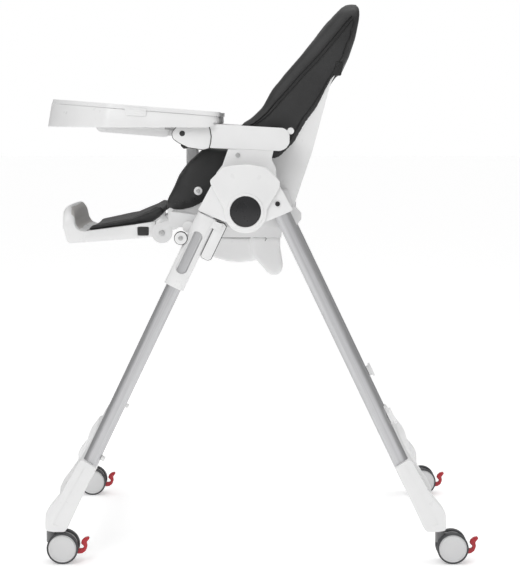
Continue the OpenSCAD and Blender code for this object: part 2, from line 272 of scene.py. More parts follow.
# Points outward from the fold pivot, for the front (-1) or the rear (1), made Y and Z
def outward(points, end):
    return [(hub["y"] + end * w, z) for w, z in points]


# Along a leg: how far out and how far down from the pivot height, made Y and Z
def onLeg(end, out, down):
    lean = math.radians(hub["lean"])
    w = hub["legGap"] + out * math.cos(lean) + down * math.sin(lean)
    return hub["y"] + end * w, hub["z"] + out * math.sin(lean) - down * math.cos(lean)


def finishPiece(piece, body, material, slotName, *nodes, angle=38):
    if isinstance(material, (list, tuple)):
        for each in material:
            piece.data.materials.append(each)
    elif material is not None:
        piece.data.materials.clear()
        piece.data.materials.append(material)
    smooth(piece, angle)
    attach(piece, body)
    if nodes:
        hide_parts(*nodes)
    return piece


# Sets a shader node's inputs, each to a plain value or to another node's output
def feed(tree, node, inputs):
    for key, value in inputs.items():
        if isinstance(value, bpy.types.NodeSocket):
            tree.links.new(value, node.inputs[key])
        else:
            node.inputs[key].default_value = value


def addNode(tree, kind, inputs=None, **settings):
    node = tree.nodes.new("ShaderNode" + kind)
    for key, value in settings.items():
        setattr(node, key, value)
    feed(tree, node, inputs or {})
    return node


# Places taken from the frame

buttonLow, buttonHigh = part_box("fold_button_left")
hub = {
    "y": (buttonLow.y + buttonHigh.y) / 2 / mm, "z": (buttonLow.z + buttonHigh.z) / 2 / mm,
    "lean": 25.6, "legGap": 61.3,
}
trayFrame = {"y": -57, "z": 769, "tilt": math.radians(4.5)}
print("frame loaded, pivot at", round(hub["y"], 1), round(hub["z"], 1))


# Camera, floor and light

view = {"distance": 2.8597, "height": 0.7737, "pitch": 6.195, "lens": 96.0, "shift": 0.0061}


def makeCamera():
    data = bpy.data.cameras.new("camera")
    data.lens = view["lens"]
    data.sensor_width = 36
    data.shift_x = view["shift"]
    data.clip_end = 60
    camera = bpy.data.objects.new("camera", data)
    bpy.context.collection.objects.link(camera)
    camera.location = (view["distance"], 0, view["height"])
    camera.rotation_euler = (math.radians(90 - view["pitch"]), 0, math.radians(90))
    bpy.context.scene.camera = camera


studio = {
    "floorSize": 60, "backdrop": 1.0, "sky": 1.3, "horizon": 0.42, "sideLoss": 0.3, "key": 20,
    "top": 10, "floorGlow": 0.34,
}


# The sky is bright overhead and darker towards the sides, so edges read; the camera itself sees plain white
def makeWorld():
    world = bpy.data.worlds.new("studioWorld")
    bpy.context.scene.world = world
    world.use_nodes = True
    tree = world.node_tree
    seen = tree.nodes["Background"]
    feed(tree, seen, {"Color": (1, 1, 1, 1), "Strength": studio["backdrop"]})
    coords = addNode(tree, "TexCoord")
    parts = addNode(tree, "SeparateXYZ", {"Vector": coords.outputs["Generated"]})
    rise = addNode(tree, "MapRange", {"Value": parts.outputs["Z"], "From Min": 0,
                                      "From Max": 1, "To Min": studio["horizon"], "To Max": studio["sky"]})
    aside = addNode(tree, "Math", {0: parts.outputs["Y"]}, operation="ABSOLUTE")
    loss = addNode(tree, "Math", {0: aside.outputs["Value"], 1: studio["sideLoss"]}, operation="MULTIPLY")
    total = addNode(tree, "Math", {0: rise.outputs["Result"], 1: loss.outputs["Value"]},
                    operation="SUBTRACT")
    lit = addNode(tree, "Background", {"Strength": total.outputs["Value"]})
    path = addNode(tree, "LightPath")
    mix = addNode(tree, "MixShader", {"Fac": path.outputs["Is Camera Ray"], 1: lit.outputs["Background"],
                                      2: seen.outputs["Background"]})
    feed(tree, tree.nodes["World Output"], {"Surface": mix.outputs["Shader"]})


def makeStudio():
    deselectAll()
    bpy.ops.mesh.primitive_plane_add(size=studio["floorSize"])
    floor = bpy.context.object
    floor.name = "floor"
    floor.data.transform(Matrix.Translation((0, 0, -0.0004)))
    material = bpy.data.materials.new("paleFloor")
    material.use_nodes = True
    tree = material.node_tree
    feed(tree, tree.nodes["Principled BSDF"], {"Base Color": (0.94, 0.94, 0.94, 1), "Roughness": 0.62,
                                               "Emission Color": (1, 1, 1, 1),
                                               "Emission Strength": studio["floorGlow"]})
    floor.data.materials.append(material)
    makeWorld()
    lamps = [("key", (2.3, -1.1, 2.5), 1.3, studio["key"]), ("top", (-0.3, 0.4, 3.0), 1.6, studio["top"])]
    for name, place, size, power in lamps:
        data = bpy.data.lights.new(name, "AREA")
        data.size = size
        data.energy = power
        lamp = bpy.data.objects.new(name, data)
        bpy.context.collection.objects.link(lamp)
        lamp.location = place
        lamp.rotation_euler = (Vector((0, 0, 0.55)) - Vector(place)).to_track_quat("-Z", "Y").to_euler()
    bpy.context.scene.view_settings.view_transform = "Standard"


makeCamera()
makeStudio()
print("camera and studio made")


# Materials

def newMaterial(name, **sockets):
    material = bpy.data.materials.new(name)
    material.use_nodes = True
    tree = material.node_tree
    shader = tree.nodes["Principled BSDF"]
    feed(tree, shader, sockets)
    return material, tree, shader, addNode(tree, "TexCoord").outputs["Object"]


def noiseNode(tree, spot, scale, detail=4, stretch=None, turn=None):
    if turn:
        spot = addNode(tree, "Mapping", {"Vector": spot, "Rotation": turn}).outputs["Vector"]
    if stretch:
        spot = addNode(tree, "Mapping", {"Vector": spot, "Scale": stretch}).outputs["Vector"]
    return addNode(tree, "TexNoise", {"Vector": spot, "Scale": scale, "Detail": detail, "Roughness": 0.5})


def ranged(tree, value, low, high, fromLow=0.3, fromHigh=0.7):
    node = addNode(tree, "MapRange", {"Value": value, "From Min": fromLow, "From Max": fromHigh,
                                      "To Min": low, "To Max": high})
    return node.outputs["Result"]


def coloured(tree, value, first, second, low=0.35, high=0.65):
    node = addNode(tree, "ValToRGB", {"Fac": value})
    for stop, place, colour in zip(node.color_ramp.elements, (low, high), (first, second)):
        stop.position = place
        stop.color = (*colour, 1)
    return node.outputs["Color"]


def bumped(tree, shader, height, strength, distance, under=None):
    inputs = {"Strength": strength, "Distance": distance, "Height": height}
    if under:
        inputs["Normal"] = under
    normal = addNode(tree, "Bump", inputs).outputs["Normal"]
    feed(tree, shader, {"Normal": normal})
    return normal


# Moulded plastic: faint mottle, a fine spark-eroded grain and slightly uneven gloss
def mouldedPlastic(name, first, second, glossLow, glossHigh, grain=0.12, coat=0.0):
    material, tree, shader, spot = newMaterial(name, **{"Coat Weight": coat, "IOR": 1.5})
    cloud = noiseNode(tree, spot, 9, 3).outputs["Fac"]
    wear = noiseNode(tree, spot, 60, 5).outputs["Fac"]
    fine = noiseNode(tree, spot, 1600, 2).outputs["Fac"]
    feed(tree, shader, {"Base Color": coloured(tree, cloud, first, second),
                        "Roughness": ranged(tree, wear, glossLow, glossHigh)})
    bumped(tree, shader, fine, grain, 0.0002)
    return material


# Satin anodised tube, with draw lines along its length
def drawnMetal(name, first, second, turn, glossLow=0.3, glossHigh=0.42, metallic=0.85):
    material, tree, shader, spot = newMaterial(name, **{"Metallic": metallic})
    lines = noiseNode(tree, spot, 1, 3, (1500, 1500, 9), turn).outputs["Fac"]
    feed(tree, shader, {"Base Color": coloured(tree, lines, first, second),
                        "Roughness": ranged(tree, lines, glossLow, glossHigh)})
    bumped(tree, shader, lines, 0.08, 0.0002)
    return material


# Coated fabric with a pebbled leather grain
def leatherette(name, first, second):
    material, tree, shader, spot = newMaterial(name, **{"Sheen Weight": 0.03, "Sheen Roughness": 0.4})
    warp = noiseNode(tree, spot, 240, 2).outputs["Color"]
    shift = addNode(tree, "VectorMath", {0: warp, 1: (0.0012, 0.0012, 0.0012), 2: spot},
                    operation="MULTIPLY_ADD")
    cells = addNode(tree, "TexVoronoi", {}, feature="DISTANCE_TO_EDGE")
    feed(tree, cells, {"Vector": shift.outputs["Vector"], "Scale": 620, "Randomness": 1})
    pebble = ranged(tree, cells.outputs["Distance"], 0, 1, 0.0, 0.3)
    patch = noiseNode(tree, spot, 14, 4).outputs["Fac"]
    crease = noiseNode(tree, spot, 38, 4).outputs["Fac"]
    feed(tree, shader, {"Base Color": coloured(tree, patch, first, second),
                        "Roughness": ranged(tree, pebble, 0.56, 0.42, 0, 1)})
    soft = bumped(tree, shader, crease, 0.22, 0.002)
    bumped(tree, shader, pebble, 0.35, 0.00035, soft)
    return material


# Woven strap: ribs across and along
def wovenStrap(name, first, second):
    material, tree, shader, spot = newMaterial(name, **{"Roughness": 0.85, "Sheen Weight": 0.3})
    weft = addNode(tree, "TexWave", {"Vector": spot, "Scale": 330}, bands_direction="X")
    warp = addNode(tree, "TexWave", {"Vector": spot, "Scale": 260}, bands_direction="Z")
    both = addNode(tree, "Math", {0: weft.outputs["Fac"], 1: warp.outputs["Fac"]}, operation="MULTIPLY")
    weave = both.outputs["Value"]
    feed(tree, shader, {"Base Color": coloured(tree, weave, first, second, 0, 1)})
    bumped(tree, shader, weave, 0.6, 0.0004)
    return material


legTurn = math.radians(25.6)
whitePlastic = mouldedPlastic("whitePlastic", (0.82, 0.82, 0.82), (0.86, 0.86, 0.86), 0.27, 0.36, coat=0.1)
greyPlastic = mouldedPlastic("greyPlastic", (0.72, 0.72, 0.725), (0.77, 0.77, 0.77), 0.36, 0.46)
# A darker beige plastic, used only as a painted reflection on the footplate's inner lip
lipReflectionPlastic = mouldedPlastic("lipReflectionPlastic", (0.56, 0.54, 0.52), (0.6, 0.58, 0.56), 0.42, 0.52)
darkGloss = mouldedPlastic("darkGloss", (0.01, 0.01, 0.011), (0.016, 0.016, 0.018), 0.24, 0.34, 0.06)
blackPlastic = mouldedPlastic("blackPlastic", (0.018, 0.018, 0.018), (0.026, 0.026, 0.026), 0.45, 0.58)
redPlastic = mouldedPlastic("redPlastic", (0.42, 0.006, 0.016), (0.5, 0.01, 0.022), 0.25, 0.34, 0.1, 0.2)
castorGrey = mouldedPlastic("castorGrey", (0.2, 0.2, 0.205), (0.24, 0.24, 0.245), 0.4, 0.5)
discGrey = mouldedPlastic("discGrey", (0.66, 0.66, 0.665), (0.7, 0.7, 0.7), 0.34, 0.44)
treadRubber = mouldedPlastic("treadRubber", (0.05, 0.052, 0.055), (0.07, 0.07, 0.074), 0.55, 0.7, 0.4)
frontAluminium = drawnMetal("frontAluminium", (0.5, 0.5, 0.51), (0.6, 0.6, 0.61), (legTurn, 0, 0))
rearAluminium = drawnMetal("rearAluminium", (0.5, 0.5, 0.51), (0.6, 0.6, 0.61), (-legTurn, 0, 0))
turnedSteel = drawnMetal("turnedSteel", (0.5, 0.5, 0.5), (0.62, 0.62, 0.62), None, 0.25, 0.35, 1.0)
charcoalLeather = leatherette("charcoalLeather", (0.017, 0.017, 0.0175), (0.026, 0.026, 0.0265))
pipingLeather = leatherette("pipingLeather", (0.004, 0.004, 0.004), (0.008, 0.008, 0.008))
blackWebbing = wovenStrap("blackWebbing", (0.012, 0.012, 0.012), (0.05, 0.05, 0.05))
seamThread = wovenStrap("seamThread", (0.02, 0.02, 0.02), (0.06, 0.06, 0.06))
print("materials made")


# Legs, feet and beams

paint("front_legs", frontAluminium)
paint("rear_legs", rearAluminium)

feet = {
    "outline": [(260.5, 172), (287, 188), (323.5, 124), (349.5, 93), (350.5, 60), (336, 57.5),
                (316, 57.5), (310.5, 66)],
    "corners": [2, 7, 40, 22, 6, 8, 8, 10], "inner": 228.5, "outer": 265.5, "edge": 6.5,
    "seam": [(278, 176.5), (336, 72), (327, 69)],
    "seamWidth": 0.45, "seamDepth": 0.7,
}


def groove(path, x, width, depth):
    tools = []
    for (a, b) in zip(path[:-1], path[1:]):
        start, end = Vector((x, *a)), Vector((x, *b))
        along = (end - start).normalized()
        tool = block("groove", (-depth, -width, -width), (depth, width, (end - start).length + width))
        turn = math.atan2(-along.y, along.z)
        tool.data.transform(Matrix.Translation(start * mm) @ Matrix.Rotation(turn, 4, "X"))
        tools.append(tool)
    return tools


def makeFoot(end, name, body, node):
    piece = roundedPlate(name, outward(feet["outline"], end), feet["inner"], feet["outer"],
                         feet["corners"], feet["edge"], segments=5)
    cut(piece, *groove(outward(feet["seam"], end), feet["outer"], feet["seamWidth"], feet["seamDepth"]))
    finishPiece(bothSides(piece), body, whitePlastic, "white_plastic", node)


beams = {
    "outline": [(292, 112), (322, 107), (329, 116), (327, 131), (320, 145), (301, 170), (288, 164),
                (284, 150)],
    "corners": [8, 10, 8, 12, 30, 10, 12, 12],
    "half": 228.6, "bow": 7,
}


def makeBeam(end, name, body, node):
    piece = plate(name, roundCorners(outward(beams["outline"], end), beams["corners"]),
                  -beams["half"], beams["half"])
    sliceAcross(piece, 16)
    for vert in piece.data.vertices:
        middle = 1 - (vert.co.x / (beams["half"] * mm)) ** 2
        vert.co.y -= end * beams["bow"] * mm * middle
    tidyNormals(piece)
    return finishPiece(piece, body, whitePlastic, "white_plastic", node)


makeFoot(-1, "frontFeet", "front_frame", "front_feet")
makeFoot(1, "rearFeet", "rear_frame", "rear_feet")
makeBeam(-1, "frontBeam", "front_frame", "front_beam")
makeBeam(1, "rearBeam", "rear_frame", "rear_beam")
soften("leg_buffers", "legBuffers", 1.4, 3, "front_frame", whitePlastic, "white_plastic")
soften("tray_hooks", "trayHooks", 1.4, 3, "rear_frame", whitePlastic, "white_plastic")
print("feet and beams made")


# Fold pivots

cover = {
    "outline": [(-37, 4), (-59, 46), (-61, 53), (-38, 76), (-15, 79.5), (6, 80.5), (36, 74.5), (59, 52),
                (59, 42), (37, 4)],
    "corners": [0, 6, 6, 10, 30, 30, 10, 6, 6, 0],
    "ring": 37, "rim": 31.5, "rimOuter": 266.5, "hole": 26.8, "inner": 259.2, "outer": 265,
}


def makeHubCovers():
    sweep = [math.radians(d) for d in range(-6, -175, -7)][::-1]
    lower = [(cover["ring"] * math.cos(a), cover["ring"] * math.sin(a)) for a in sweep]
    crown = roundCorners(cover["outline"], cover["corners"])[::-1]
    outline = [(hub["y"] + y, hub["z"] + z) for y, z in crown + lower]
    piece = plate("hubCovers", outline, cover["inner"], cover["outer"])
    bevelEdges(piece, 1.8, 3, 50)
    centre = (hub["y"], hub["z"])
    weld(piece, rod("ring", (259.5, *centre), (cover["rimOuter"], *centre), cover["rim"], 1.2, 96))
    cut(piece, rod("hole", (250, *centre), (280, *centre), cover["hole"], 0, 96))
    bevelEdges(piece, 0.5, 2, 60)
    finishPiece(bothSides(piece), "front_frame", whitePlastic, "white_plastic", "hub_covers")


button = {
    "radius": 26.3, "face": 265.2, "dome": 2.3, "back": 262.5, "stem": 5, "steps": [0.09] + [0.15] * 5,
}


def makeFoldButtons():
    centre = (hub["y"], hub["z"])
    deselectAll()
    bpy.ops.mesh.primitive_cylinder_add(vertices=96, radius=button["radius"] * mm,
                                        depth=(button["face"] - button["back"]) * mm)
    piece = bpy.context.object
    piece.name = "foldButtonLeft"
    editTopFace(piece)
    into, lifted = 0, 0
    for step in button["steps"]:
        into += step
        height = 1 - (into - 1) ** 2
        rise = button["dome"] * (height - lifted) * mm
        bpy.ops.mesh.inset(thickness=button["radius"] * step * mm, depth=rise)
        lifted = height
    bpy.ops.object.mode_set(mode="OBJECT")
    piece.data.transform(Matrix.Translation(((button["face"] + button["back"]) / 2 * mm, centre[0] * mm,
                                             centre[1] * mm)) @ Matrix.Rotation(math.pi / 2, 4, "Y"))
    stem = rod("stem", (240, *centre), (263, *centre), button["stem"], 0.4)
    piece = join("foldButtonLeft", [piece, stem])
    twin = mirrored(piece)
    twin.name = "foldButtonRight"
    finishPiece(piece, "fold_button_left", darkGloss, "dark_plastic", "fold_button_left", angle=50)
    finishPiece(twin, "fold_button_right", darkGloss, "dark_plastic", "fold_button_right", angle=50)


makeHubCovers()
makeFoldButtons()
soften("front_joints", "frontLegCaps", 1.6, 3, "front_frame", whitePlastic, "white_plastic")
soften("rear_joints", "rearLegCaps", 1.6, 3, "rear_frame", whitePlastic, "white_plastic")
print("fold pivots made")


# Seat collars, armrests and shells

soften("leg_sleeves", "legCollars", 1.1, 3, "seat", whitePlastic, "white_plastic")

armrest = {
    "outline": [(-82, 767.3), (46, 760), (53, 756), (57, 748), (57, 734), (51, 725), (41, 720.5),
                (-81, 725.8), (-78.2, 735), (-77.2, 746), (-79.2, 758)],
    "corners": [2, 10, 12, 10, 10, 10, 12, 2, 10, 10, 10],
    "inner": 196, "outer": 230, "edge": 2.2,
    "bracket": [(-83.6, 766.4), (-120, 765.5), (-136, 763), (-145.8, 753), (-144, 742), (-134, 735),
                (-118, 727), (-92, 723), (-82.4, 725.4), (-79.8, 735), (-78.8, 746), (-80.8, 757)],
    "bracketCorners": [2, 10, 12, 12, 10, 12, 20, 12, 2, 10, 10, 10],
    "neck": [(-49, 724), (-59, 696), (-70, 682), (-70, 611.2), (34, 611.2), (34, 690), (26, 707),
             (30, 724)],
    "neckCorners": [2, 8, 8, 2, 2, 14, 10, 2],
    "lug": (59, 755),
}


# An outline grown outwards by a distance
def grown(outline, far):
    area = sum(a[0] * b[1] - b[0] * a[1] for a, b in zip(outline, outline[1:] + outline[:1]))
    turn = 1 if area > 0 else -1
    out = []
    for i, point in enumerate(outline):
        here = Vector(point)
        into = (here - Vector(outline[i - 1])).normalized()
        away = (Vector(outline[(i + 1) % len(outline)]) - here).normalized()
        normal = (Vector((into.y, -into.x)) + Vector((away.y, -away.x))).normalized() * turn
        out.append(tuple(here + normal * far))
    return out


def makeArmrests():
    outer, inner = armrest["outer"], armrest["inner"]
    rest = roundedPlate("armrests", armrest["outline"], inner, outer + 0.6, armrest["corners"],
                        armrest["edge"], segments=4)
    bracket = roundedPlate("bracket", armrest["bracket"], inner + 3, outer + 0.4,
                           armrest["bracketCorners"], 2)
    neck = roundedPlate("neck", armrest["neck"], inner + 16, outer - 0.6, armrest["neckCorners"], 1.8)
    y, z = armrest["lug"]
    lug = rod("lug", (214, y, z), (226, y, z), 5.8, 1.6)
    bar = block("bar", (218, 44, 750), (224, 60, 756))
    core = block("core", (207, -90, 729), (226, -70, 763))
    # The black plate round the bracket and the black block where it meets the armrest paint the shade in
    # the gaps between them
    around = grown(roundCorners(armrest["bracket"], armrest["bracketCorners"]), 1.1)
    shade = plate("shade", around, 222, 227.4)
    channel = block("channel", (206.4, -102, -33.4), (219.6, 80, -18.2))
    toTray(channel)
    for piece in (rest, bracket, shade, core):
        cut(piece, channel, keepTool=True)
    bpy.data.objects.remove(channel)
    piece = join("armrests", [rest, bracket, neck, lug, bar])
    finishPiece(bothSides(piece), "seat", whitePlastic, "white_plastic", "armrests")
    finishPiece(bothSides(join("armrestGapShade", [shade, core])), "seat", blackPlastic, "black_plastic")


# Moves a piece modelled level and square into the sloping tray frame
def toTray(piece):
    piece.data.transform(Matrix.Translation((0, trayFrame["y"] * mm, trayFrame["z"] * mm))
                         @ Matrix.Rotation(-trayFrame["tilt"], 4, "X"))


makeArmrests()
soften("seat_shell", "seatShell", 1.6, 3, "seat", greyPlastic, "grey_plastic")

baseShell = {
    "outline": [(-97, 567), (-93, 540), (-84, 531), (-52, 521), (-29, 519.5), (-1, 522.5), (14, 540),
                (30, 560), (38, 567)],
    "corners": [4, 10, 10, 20, 20, 10, 20, 10, 3],
    "half": 152, "edge": 9,
    "lobe": [(-14, 567), (-6, 532), (19.7, 502), (26.6, 497), (36, 497), (45, 505), (48, 515),
             (42, 550), (43, 567)],
    "lobeCorners": [3, 20, 14, 10, 12, 10, 20, 20, 3],
    "lobeInner": 118, "lobeOuter": 163,
    "seam": [(-66, 570), (-58, 572), (-36, 569), (-12, 570), (5, 574), (15, 575), (19, 569), (15, 560)],
}


def makeBaseShell():
    piece = roundedPlate("seatBaseCover", baseShell["outline"], -baseShell["half"], baseShell["half"],
                         baseShell["corners"], baseShell["edge"], segments=5)
    lobe = roundedPlate("lobe", baseShell["lobe"], baseShell["lobeInner"], baseShell["lobeOuter"],
                        baseShell["lobeCorners"], 8, segments=5)
    weld(piece, mirrored(lobe), lobe)
    addModifier(piece, "REMESH", mode="VOXEL", voxel_size=2.6 * mm)
    addModifier(piece, "SMOOTH", factor=0.6, iterations=14)
    applyAll(piece)
    seams = []
    surface = surfaceOf(piece)
    for side in (1, -1):
        path = [(side * 170, y, z) for y, z in baseShell["seam"]]
        seams.append(lay("seam", path, surface, 0.55, sink=0.6))
    finishPiece(join("baseSeams", seams), "seat", blackPlastic, "black_plastic")
    finishPiece(piece, "seat", whitePlastic, "white_plastic", "seat_base_cover", angle=180)


def surfaceOf(piece):
    return BVHTree.FromObject(piece, bpy.context.evaluated_depsgraph_get())


# A round cord laid on a surface along a path
def lay(name, path, surface, radius, sink=0.3):
    spots = []
    for point in path:
        spot, normal, _, _ = surface.find_nearest(Vector(point) * mm)
        spots.append(spot + normal * radius * (1 - sink) * mm)
    data = bpy.data.curves.new(name, "CURVE")
    data.dimensions = "3D"
    data.bevel_depth = radius * mm
    data.bevel_resolution = 2
    data.use_fill_caps = True
    line = data.splines.new("NURBS")
    line.points.add(len(spots) - 1)
    for target, spot in zip(line.points, spots):
        target.co = (*spot, 1)
    line.use_endpoint_u = True
    line.order_u = 4
    line.resolution_u = 3
    cord = bpy.data.objects.new(name, data)
    bpy.context.collection.objects.link(cord)
    pick(cord)
    bpy.ops.object.convert(target="MESH")
    return bpy.context.object


makeBaseShell()
soften("crotch_post", "crotchPost", 4, 4, "seat", greyPlastic, "grey_plastic")
for side in ("left", "right"):
    soften("height_lever_" + side, "heightLever" + side.title(), 1.4, 3,
           "height_lever_" + side, whitePlastic, "white_plastic")
print("collars, armrests and shells made")


# Back shell

def backLine(shift, low=622, high=930):
    line = [(66, 622), (98, 717), (130, 838), (150, 872), (164, 902), (171, 930)]
    return [(y - shift, z) for y, z in line if low <= z <= high]


backShell = {
    "wing": [(160, 935), (128, 905), (90, 850), (36, 770), (22, 706), (26, 640), (34, 618), (50, 612)],
    "corners": [6, 60, 60, 30, 30, 20] + [6] * 8,
    "inner": 166, "outer": 172, "panelBack": 8, "panelFront": 13, "panelHalf": 167, "ribs": [-110, 110],
    "ribHalf": 4,
}


def makeBackShell():
    outline = roundCorners(backLine(0) + backShell["wing"], backShell["corners"])
    wing = plate("backShell", outline, backShell["inner"], backShell["outer"])
    bevelEdges(wing, 1.6, 3, 50)
    section = backLine(backShell["panelBack"]) + backLine(backShell["panelFront"])[::-1]
    panel = plate("panel", section, -backShell["panelHalf"], backShell["panelHalf"])
    ribLine = backLine(3.5, 620, 850) + backLine(9, 620, 850)[::-1]
    half = backShell["ribHalf"]
    ribs = [roundedPlate("rib", ribLine, x - half, x + half, 1, 1.2) for x in backShell["ribs"]]
    window = block("window", (-37, 80, 791), (37, 160, 839), 2)
    piece = cut(panel, window)
    boss = rod("boss", (166, 45, 632), (175.4, 45, 632), 16, 1)
    piece = join("backShell", [piece, wing, mirrored(wing), boss, mirrored(boss), *ribs])
    finishPiece(piece, "backrest", whitePlastic, "white_plastic", "back_shell")


makeBackShell()
soften("recline_lever", "reclineLever", 1.6, 3, "recline_lever", greyPlastic, "grey_plastic")
print("back shell made")


# Leg rest

footPlate = {
    "outline": [(-309, 553.8), (-338, 551.8), (-344, 556), (-347.5, 575), (-350.5, 594), (-350, 608),
                (-344.5, 616.5), (-336, 617.5), (-329.5, 609), (-327, 592), (-322, 580), (-313, 574.5),
                (-309, 573.8)],
    "corners": [1, 6, 10, 20, 20, 10, 8, 8, 14, 20, 14, 10, 1],
    "half": 118, "bow": 5, "cornerRadius": 32,
}


def makeFootPlate():
    half = footPlate["half"]
    piece = plate("footPlate", roundCorners(footPlate["outline"], footPlate["corners"]), -half, half)
    sliceAcross(piece, 40)
    reach = footPlate["cornerRadius"]
    for vert in piece.data.vertices:
        x = abs(vert.co.x) / mm
        lift = max(0, (vert.co.z / mm - 572) / 46)
        into = max(0, x - (half - reach)) / reach
        drop = (1 - math.sqrt(max(0, 1 - into ** 2))) * reach
        vert.co.z -= drop * lift * 0.86 * mm
        vert.co.y -= footPlate["bow"] * (1 - (x / half) ** 2) * lift * mm
    bevelEdges(piece, 3.2, 4, 40)
    # The inner side of the lip takes a darker, warmer plastic: a painted reflection
    for face in piece.data.polygons:
        x, y, z = face.center / mm
        inside = y > -338.5 and z > 574.5 and abs(x) < half - 7
        face.material_index = int(face.normal.y > 0.55 and inside)
    finishPiece(piece, "leg_rest", [whitePlastic, lipReflectionPlastic], "white_plastic", "footplate")


makeFootPlate()
soften("leg_rest", "legRest", 2, 3, "leg_rest", whitePlastic, "white_plastic")
for side in ("left", "right"):
    soften("leg_rest_button_" + side, "legRestButton" + side.title(), 1.2, 3,
           "leg_rest_button_" + side, blackPlastic, "black_plastic")
print("leg rest made")


# Tray

tray = {
    "half": 245, "depth": 331, "front": 300, "scoop": 190, "scoopCentre": 120, "floor": 761, "top": 10,
    "rear": 8, "taper": 0.025, "middle": -30,
}


# Plan of the tray, counter-clockwise from the rear left end, drawn in by inset
def trayPlan(inset=0.0, corner=26):
    half, front = tray["half"] - inset, tray["front"] - inset
    centre = -(tray["depth"] - tray["front"])
    scoop = tray["scoop"] + inset
    rear = -tray["rear"] - inset
    sweep = math.asin(half / front)
    arc = [(front * math.sin(a), centre - front * math.cos(a))
           for a in [-sweep + 2 * sweep * k / 36 for k in range(37)]]
    spread = math.acos((tray["scoopCentre"] - rear) / scoop)
    cutArc = [(scoop * math.sin(a), tray["scoopCentre"] - scoop * math.cos(a))
              for a in [spread - 2 * spread * k / 24 for k in range(25)]]
    corners = arc + [(half, rear)] + cutArc + [(-half, rear)]
    flare, nose = corner * 1.4, corner * 0.5
    radii = [flare] + [0] * (len(arc) - 2) + [flare, corner, nose]
    radii += [0] * (len(cutArc) - 2) + [nose, corner]
    return roundCorners(corners, radii, 7)


# Walls lean inwards as they rise
def leanIn(vert, part):
    vert.co.x *= 1 - tray["taper"] * part
    y = vert.co.y / mm
    vert.co.y = (tray["middle"] + (y - tray["middle"]) * (1 - tray["taper"] * part)) * mm


def makeTrayBase():
    piece = plate("trayBase", trayPlan(0.5), 0, 40, "z")
    bevelEdges(piece, 1.6, 3, 50)
    inner = plate("inner", trayPlan(3.4, 24), -5, 36.5, "z")
    for shape in (piece, inner):
        for vert in shape.data.vertices:
            part = vert.co.z / mm / 40
            leanIn(vert, part)
            y = vert.co.y / mm
            slope = trayFrame["z"] + tray["top"] - y * math.tan(trayFrame["tilt"])
            rise = max(0, (y + 30) / 25) ** 2 * 9 * max(0, 1 - 2 * part)
            vert.co.z = (tray["floor"] + rise + (slope - tray["floor"]) * part) * mm
            vert.co.y = (y + trayFrame["y"]) * mm
    cut(piece, inner)
    for side in (1, -1):
        low, high = sorted((side * 193, side * 238))
        cut(piece, block("gap", (low, -112, 740), (high, -50, 769.2)))
    extras = []
    for side in (1, -1):
        low, high = sorted((side * 204, side * 222))
        rib = block("rib", (low, -221, -18.7), (high, -100, 7.5), 1.2)
        toTray(rib)
        extras.append(rib)
        low, high = sorted((side * 236, side * 242.8))
        for grow, deep in ((0, 0), (-3, 0.9)):
            outline = [(-226.4 - grow, 796 + grow), (-188.4 + grow, 793 + grow),
                       (-189.6 + grow, 780 - grow), (-225 - grow, 782 - grow)]
            extras.append(roundedPlate("tab", outline, low + min(0, side * deep),
                                       high + max(0, side * deep), 3, 0.8))
    for x in (-42.2, 42.2):
        outline = [(-356, 784), (-342, 784), (-342, 803), (-356, 803)]
        extras.append(roundedPlate("ear", outline, x - 1.6, x + 1.6, 2, 0.4))
    piece = join("trayBase", [piece, *extras])
    finishPiece(piece, "tray", whitePlastic, "white_plastic", "tray_base")


def makeTrayTop():
    piece = plate("trayTop", trayPlan(-0.6), 10.1, 17.6, "z")
    editTopFace(piece)
    bpy.ops.mesh.inset(thickness=9 * mm, depth=0)
    bpy.ops.mesh.inset(thickness=4 * mm, depth=-4.6 * mm)
    bpy.ops.object.mode_set(mode="OBJECT")
    bevelEdges(piece, 2.2, 4, 30)
    cup = rod("cup", (150, -180, 11.6), (150, -180, 30), 36, 0, 96)
    cut(piece, cup)
    bevelEdges(piece, 0.8, 2, 60)
    for vert in piece.data.vertices:
        leanIn(vert, 1 + (vert.co.z / mm - 10) / 40)
    toTray(piece)
    finishPiece(piece, "tray_top", whitePlastic, "white_plastic", "tray_top")


rails = {
    "main": [(-221, -19), (-221, -24), (-213, -32.8), (-98, -32.8), (-93, -28), (-93, -19)],
    "mainCorners": [1, 6, 8, 6, 6, 1],
    "tail": [(-100, -20), (-100, -30), (75, -30), (75, -20)],
}


def makeRails():
    main = roundedPlate("trayRails", rails["main"], 207, 219, rails["mainCorners"], 1.2)
    tail = roundedPlate("tail", rails["tail"], 209, 217, 1, 0.6)
    piece = join("trayRails", [main, tail])
    toTray(piece)
    finishPiece(bothSides(piece), "tray", whitePlastic, "grey_plastic", "tray_rails")


makeRails()
makeTrayBase()
makeTrayTop()
soften("tray_release", "trayRelease", 0.9, 2, "tray_release", greyPlastic, "grey_plastic")
print("tray made")


# Castors

pedal = {
    "outline": [(31, 26), (36, 27), (39, 20), (46, 14.5), (54, 15), (60.5, 19.5), (63.5, 28), (62, 35),
                (67.5, 42), (65.5, 45), (59, 43.5), (53.5, 39), (52, 33), (55, 30.5), (57.5, 27.5),
                (55.5, 24), (49, 23), (44, 26), (40, 33), (33, 33), (29, 29)],
    "corners": [2, 2, 5, 6, 6, 8, 8, 4, 3, 3, 5, 5, 3, 3, 3, 3, 6, 5, 4, 4, 3],
    "half": 4, "stem": 21,
}


def makePedal(corner, stem):
    low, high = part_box(corner + "_axle")
    x, y = (low.x + high.x) / 2 / mm, (low.y + high.y) / 2 / mm - pedal["stem"]
    piece = roundedPlate(stem + "Brake", [(y + a, b) for a, b in pedal["outline"]], x - pedal["half"],
                         x + pedal["half"], pedal["corners"], 1.3, segments=3)
    finishPiece(piece, corner + "_pedal", redPlastic, "red_plastic", corner + "_brake")


